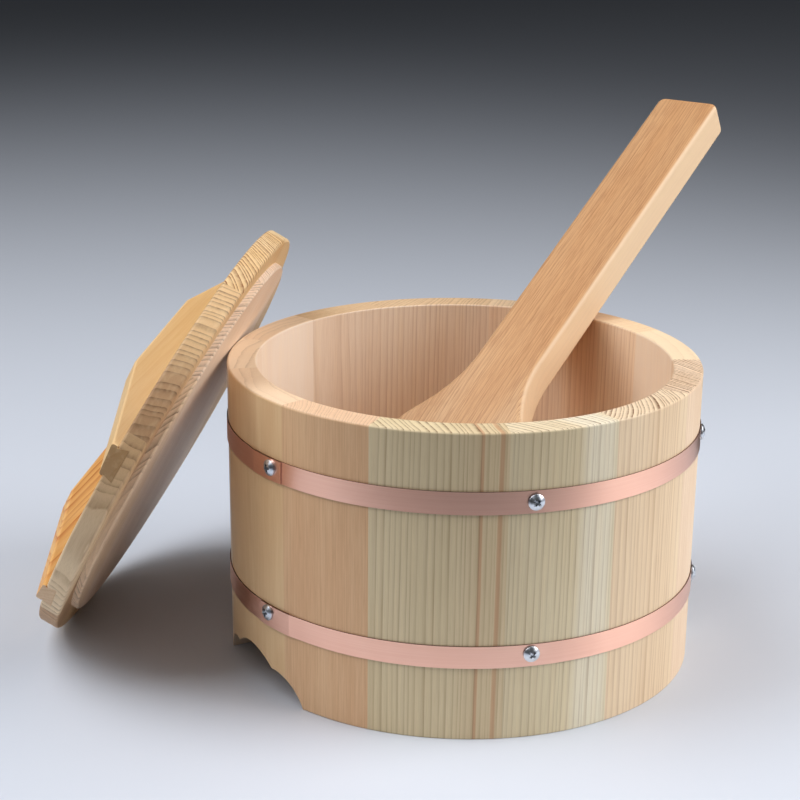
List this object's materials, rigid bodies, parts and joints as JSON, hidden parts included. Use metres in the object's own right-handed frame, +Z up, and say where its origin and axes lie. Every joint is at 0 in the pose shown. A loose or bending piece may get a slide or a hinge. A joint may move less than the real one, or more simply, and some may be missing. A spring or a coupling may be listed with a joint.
{
  "type": "wooden rice tub",
  "caption": "Coopered wooden rice tub with copper hoops and arched feet, its battened lid leaning on the side and a flat wooden paddle standing inside.",
  "frame": {"origin": "on the tub's axis, in the plane of its feet", "axes": "+Z up along the tub's axis; -Y towards the viewer of the front; the lid leans on the -X side and the paddle's handle points to the back right"},
  "size_m": [0.4014, 0.3599, 0.2748],
  "materials": {
    "stave_wood": "planed, bare",
    "base_wood": "planed, bare",
    "lid_wood": "planed, bare",
    "batten_wood": "planed, bare",
    "paddle_wood": "sanded, bare",
    "hoop_copper": "satin copper",
    "screw_zinc": "zinc plated",
    "bamboo": "split bamboo"
  },
  "bodies": {
    "tub": {"stave_01": "stave_wood", "stave_02": "stave_wood", "stave_03": "stave_wood", "stave_04": "stave_wood", "stave_05": "stave_wood", "stave_06": "stave_wood", "stave_07": "stave_wood", "stave_08": "stave_wood", "stave_09": "stave_wood", "stave_10": "stave_wood", "stave_11": "stave_wood", "stave_12": "stave_wood", "stave_13": "stave_wood", "base_board_1": "base_wood", "base_board_2": "base_wood", "base_board_3": "base_wood", "base_board_4": "base_wood", "upper_hoop": "hoop_copper", "lower_hoop": "hoop_copper", "upper_hoop_screws": "screw_zinc", "lower_hoop_screws": "screw_zinc", "stave_pins": "bamboo", "base_pins": "bamboo"},
    "lid": {"lid_board_1": "lid_wood", "lid_board_2": "lid_wood", "lid_board_3": "lid_wood", "lid_board_4": "lid_wood", "plug_board_1": "lid_wood", "plug_board_2": "lid_wood", "plug_board_3": "lid_wood", "plug_board_4": "lid_wood", "batten_upper": "batten_wood", "batten_lower": "batten_wood", "lid_pins": "bamboo"},
    "paddle": {"paddle": "paddle_wood"}
  },
  "joints": [
    {"name": "lid_lift", "type": "slide", "parent": "tub", "child": "lid", "axis": [0, 0, 1], "range_m": [0, 0.28]},
    {"name": "paddle_lift", "type": "slide", "parent": "tub", "child": "paddle", "axis": [0, 0, 1], "range_m": [0, 0.25]}
  ]
}
